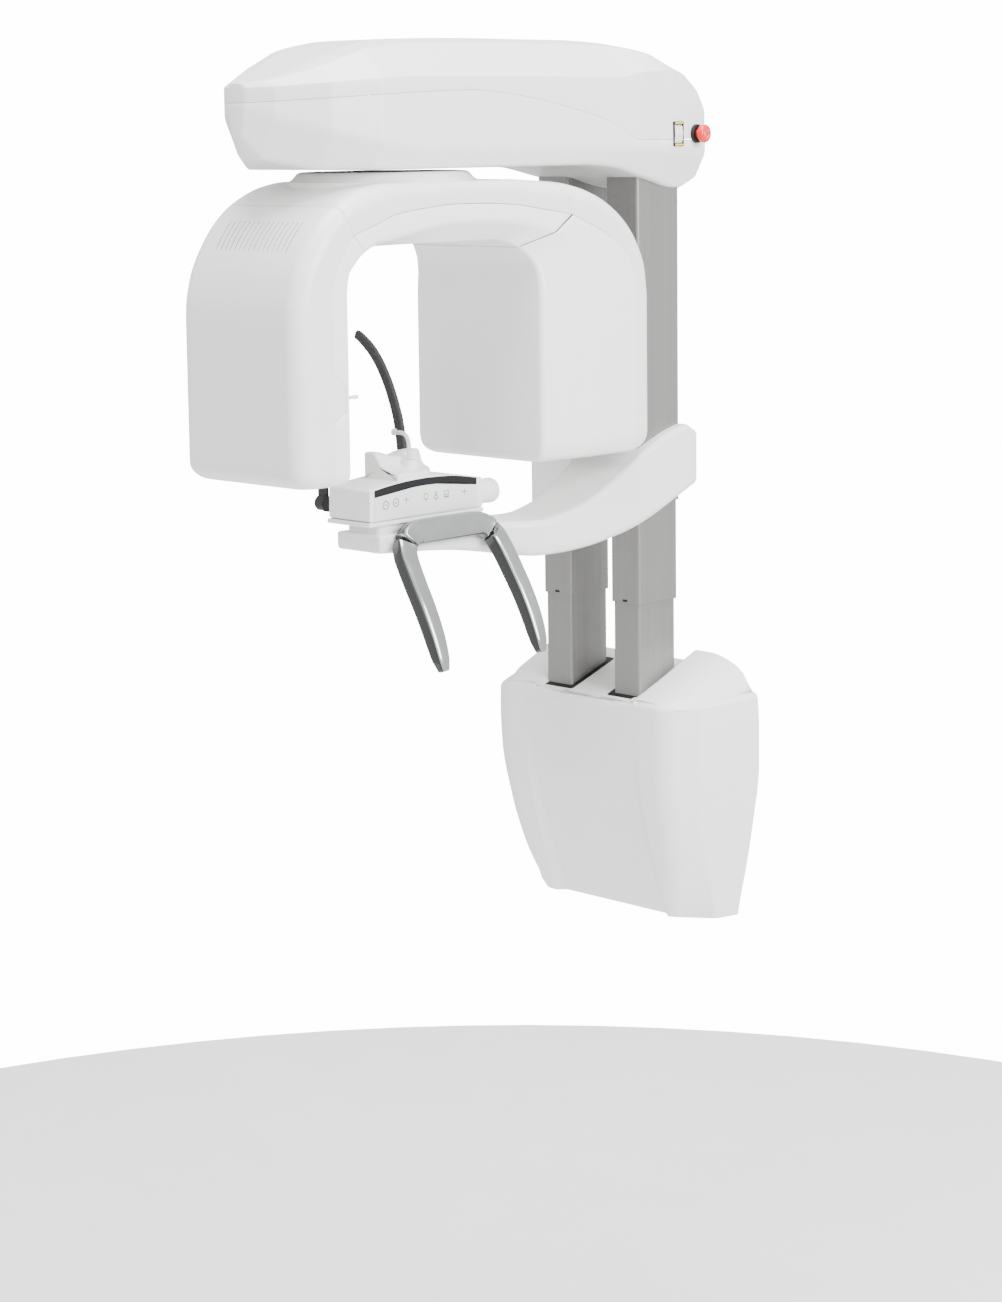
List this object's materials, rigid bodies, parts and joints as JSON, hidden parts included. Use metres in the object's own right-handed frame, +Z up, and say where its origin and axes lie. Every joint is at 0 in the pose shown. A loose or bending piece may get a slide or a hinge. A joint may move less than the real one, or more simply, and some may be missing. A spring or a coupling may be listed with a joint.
{
  "type": "panoramic x-ray machine",
  "caption": "Wall-mounted dental panoramic x-ray machine with twin telescopic columns, turning C-arm under a boom, chin unit and patient handle.",
  "frame": {"origin": "centre of the four wall bolts, on the wall plane", "axes": "+Z up, +Y into the wall, +X to the machine's right as seen from the room's front"},
  "size_m": [0.446, 0.795, 1.276],
  "materials": {
    "white_cover": "satin moulded cover",
    "liner_white": "satin moulded liner",
    "arm_casting": "white coated casting",
    "column_aluminium": "satin anodised",
    "steel_frame": "powder coat",
    "bright_steel": "ground",
    "actuator_case": "black paint",
    "supply_case": "folded sheet",
    "alloy": "machined",
    "black_plastic": "fine texture",
    "circuit_board": "solder mask",
    "rocker_plastic": "moulded",
    "stop_red": "moulded",
    "lever_white": "moulded",
    "tube_glass": "clear",
    "lead_plates": "dull",
    "panel_membrane": "printed film",
    "key_dome": "printed film",
    "handle_metal": "polished",
    "temple_black": "smooth",
    "clear_rod": "clear"
  },
  "bodies": {
    "wall_base": {"wall_plate": "steel_frame", "lower_bracket": "steel_frame", "upper_bracket": "steel_frame", "bracket_screws": "bright_steel", "power_supply": "supply_case", "mains_inlet": "black_plastic", "base_cover": "white_cover", "inner_tube_left": "column_aluminium", "inner_tube_right": "column_aluminium", "lift_actuator_left": "actuator_case", "lift_actuator_right": "actuator_case"},
    "middle_stage": {"middle_tube_left": "column_aluminium", "middle_tube_right": "column_aluminium", "glide_clips": "black_plastic"},
    "carriage": {"outer_tube_left": "column_aluminium", "outer_tube_right": "column_aluminium", "push_rod_left": "bright_steel", "push_rod_right": "bright_steel", "boom_frame": "steel_frame", "slide_rails": "bright_steel", "control_board": "circuit_board", "boom_upper_cover": "white_cover", "boom_lower_cover": "white_cover", "rocker_frame": "black_plastic", "stop_collar": "black_plastic", "patient_arm": "arm_casting", "control_box": "white_cover", "control_panel": "panel_membrane", "handle": "handle_metal", "temple_yoke": "black_plastic"},
    "rocker": {"rocker": "rocker_plastic"},
    "stop_button": {"stop_button": "stop_red"},
    "turning_head": {"head_carriage": "steel_frame", "slewing_ring": "bright_steel", "rotation_motor": "actuator_case"},
    "c_arm": {"turntable": "alloy", "arm_frame": "steel_frame", "sensor_leg_cover": "white_cover", "sensor_leg_liner": "liner_white", "bridge_cover": "white_cover", "arch_ceiling": "liner_white", "tube_leg_back": "white_cover", "tube_head_cover": "liner_white", "sensor_panel": "alloy", "xray_tank": "steel_frame", "xray_tube": "tube_glass", "collimator": "lead_plates"},
    "laser_lever": {"laser_lever": "lever_white"},
    "chin_rest": {"chin_rest": "white_cover"},
    "bite_rod": {"bite_rod": "clear_rod"},
    "temple_arm_front": {"temple_arm_front": "temple_black"},
    "temple_arm_rear": {"temple_arm_rear": "temple_black"},
    "temple_knob": {"temple_knob": "white_cover"},
    "key_up": {"key_up": "key_dome"},
    "key_down": {"key_down": "key_dome"},
    "key_centre": {"key_centre": "key_dome"},
    "key_child": {"key_child": "key_dome"},
    "key_adult": {"key_adult": "key_dome"},
    "key_field": {"key_field": "key_dome"},
    "key_return": {"key_return": "key_dome"}
  },
  "joints": [
    {"name": "stage_lift", "type": "slide", "parent": "wall_base", "child": "middle_stage", "axis": [0, 0, 1], "range_m": [-0.1, 0.2]},
    {"name": "carriage_lift", "type": "slide", "parent": "middle_stage", "child": "carriage", "axis": [0, 0, 1], "range_m": [-0.1, 0.2]},
    {"name": "head_slide", "type": "slide", "parent": "carriage", "child": "turning_head", "axis": [1, 0, 0], "range_m": [-0.02, 0.02]},
    {"name": "arm_turn", "type": "hinge", "parent": "turning_head", "child": "c_arm", "pos_m": [0.01, -0.532, 0.914], "axis": [0, 0, 1], "range_deg": [-30, 220]},
    {"name": "laser_slide", "type": "slide", "parent": "c_arm", "child": "laser_lever", "axis": [0, 0, 1], "range_m": [-0.012, 0.012]},
    {"name": "temple_front_swing", "type": "hinge", "parent": "carriage", "child": "temple_arm_front", "pos_m": [-0.05, -0.597, 0.47], "axis": [1, 0, 0], "range_deg": [-6, 4]},
    {"name": "temple_rear_swing", "type": "hinge", "parent": "carriage", "child": "temple_arm_rear", "pos_m": [-0.05, -0.447, 0.47], "axis": [1, 0, 0], "range_deg": [-4, 6]},
    {"name": "temple_knob_turn", "type": "hinge", "parent": "carriage", "child": "temple_knob", "pos_m": [0.035, -0.4, 0.471], "axis": [0, 1, 0], "range_deg": [-48, 32]},
    {"name": "chin_rest_lift", "type": "slide", "parent": "carriage", "child": "chin_rest", "axis": [0, 0, 1], "range_m": [0, 0.05]},
    {"name": "bite_rod_lift", "type": "slide", "parent": "chin_rest", "child": "bite_rod", "axis": [0, 0, 1], "range_m": [0, 0.04]},
    {"name": "stop_press", "type": "slide", "parent": "carriage", "child": "stop_button", "axis": [-0.9934, -0.115, 0], "range_m": [0, 0.004], "stiffness_N_per_m": 1500},
    {"name": "rocker_tilt", "type": "hinge", "parent": "carriage", "child": "rocker", "pos_m": [0.13011, -0.07, 0.958], "axis": [-0.115, 0.9934, 0], "range_deg": [-5, 5]},
    {"name": "key_up_press", "type": "slide", "parent": "carriage", "child": "key_up", "axis": [-1, 0, 0], "range_m": [0, 0.0006], "stiffness_N_per_m": 1800},
    {"name": "key_down_press", "type": "slide", "parent": "carriage", "child": "key_down", "axis": [-1, 0, 0], "range_m": [0, 0.0006], "stiffness_N_per_m": 1800},
    {"name": "key_centre_press", "type": "slide", "parent": "carriage", "child": "key_centre", "axis": [-1, 0, 0], "range_m": [0, 0.0006], "stiffness_N_per_m": 1800},
    {"name": "key_child_press", "type": "slide", "parent": "carriage", "child": "key_child", "axis": [-1, 0, 0], "range_m": [0, 0.0006], "stiffness_N_per_m": 1800},
    {"name": "key_adult_press", "type": "slide", "parent": "carriage", "child": "key_adult", "axis": [-1, 0, 0], "range_m": [0, 0.0006], "stiffness_N_per_m": 1800},
    {"name": "key_field_press", "type": "slide", "parent": "carriage", "child": "key_field", "axis": [-1, 0, 0], "range_m": [0, 0.0006], "stiffness_N_per_m": 1800},
    {"name": "key_return_press", "type": "slide", "parent": "carriage", "child": "key_return", "axis": [-1, 0, 0], "range_m": [0, 0.0006], "stiffness_N_per_m": 1800}
  ],
  "couplings": [
    {"joint": "stage_lift", "follows": "carriage_lift", "ratio": 1},
    {"joint": "temple_rear_swing", "follows": "temple_front_swing", "ratio": -1},
    {"joint": "temple_knob_turn", "follows": "temple_front_swing", "ratio": 8}
  ]
}
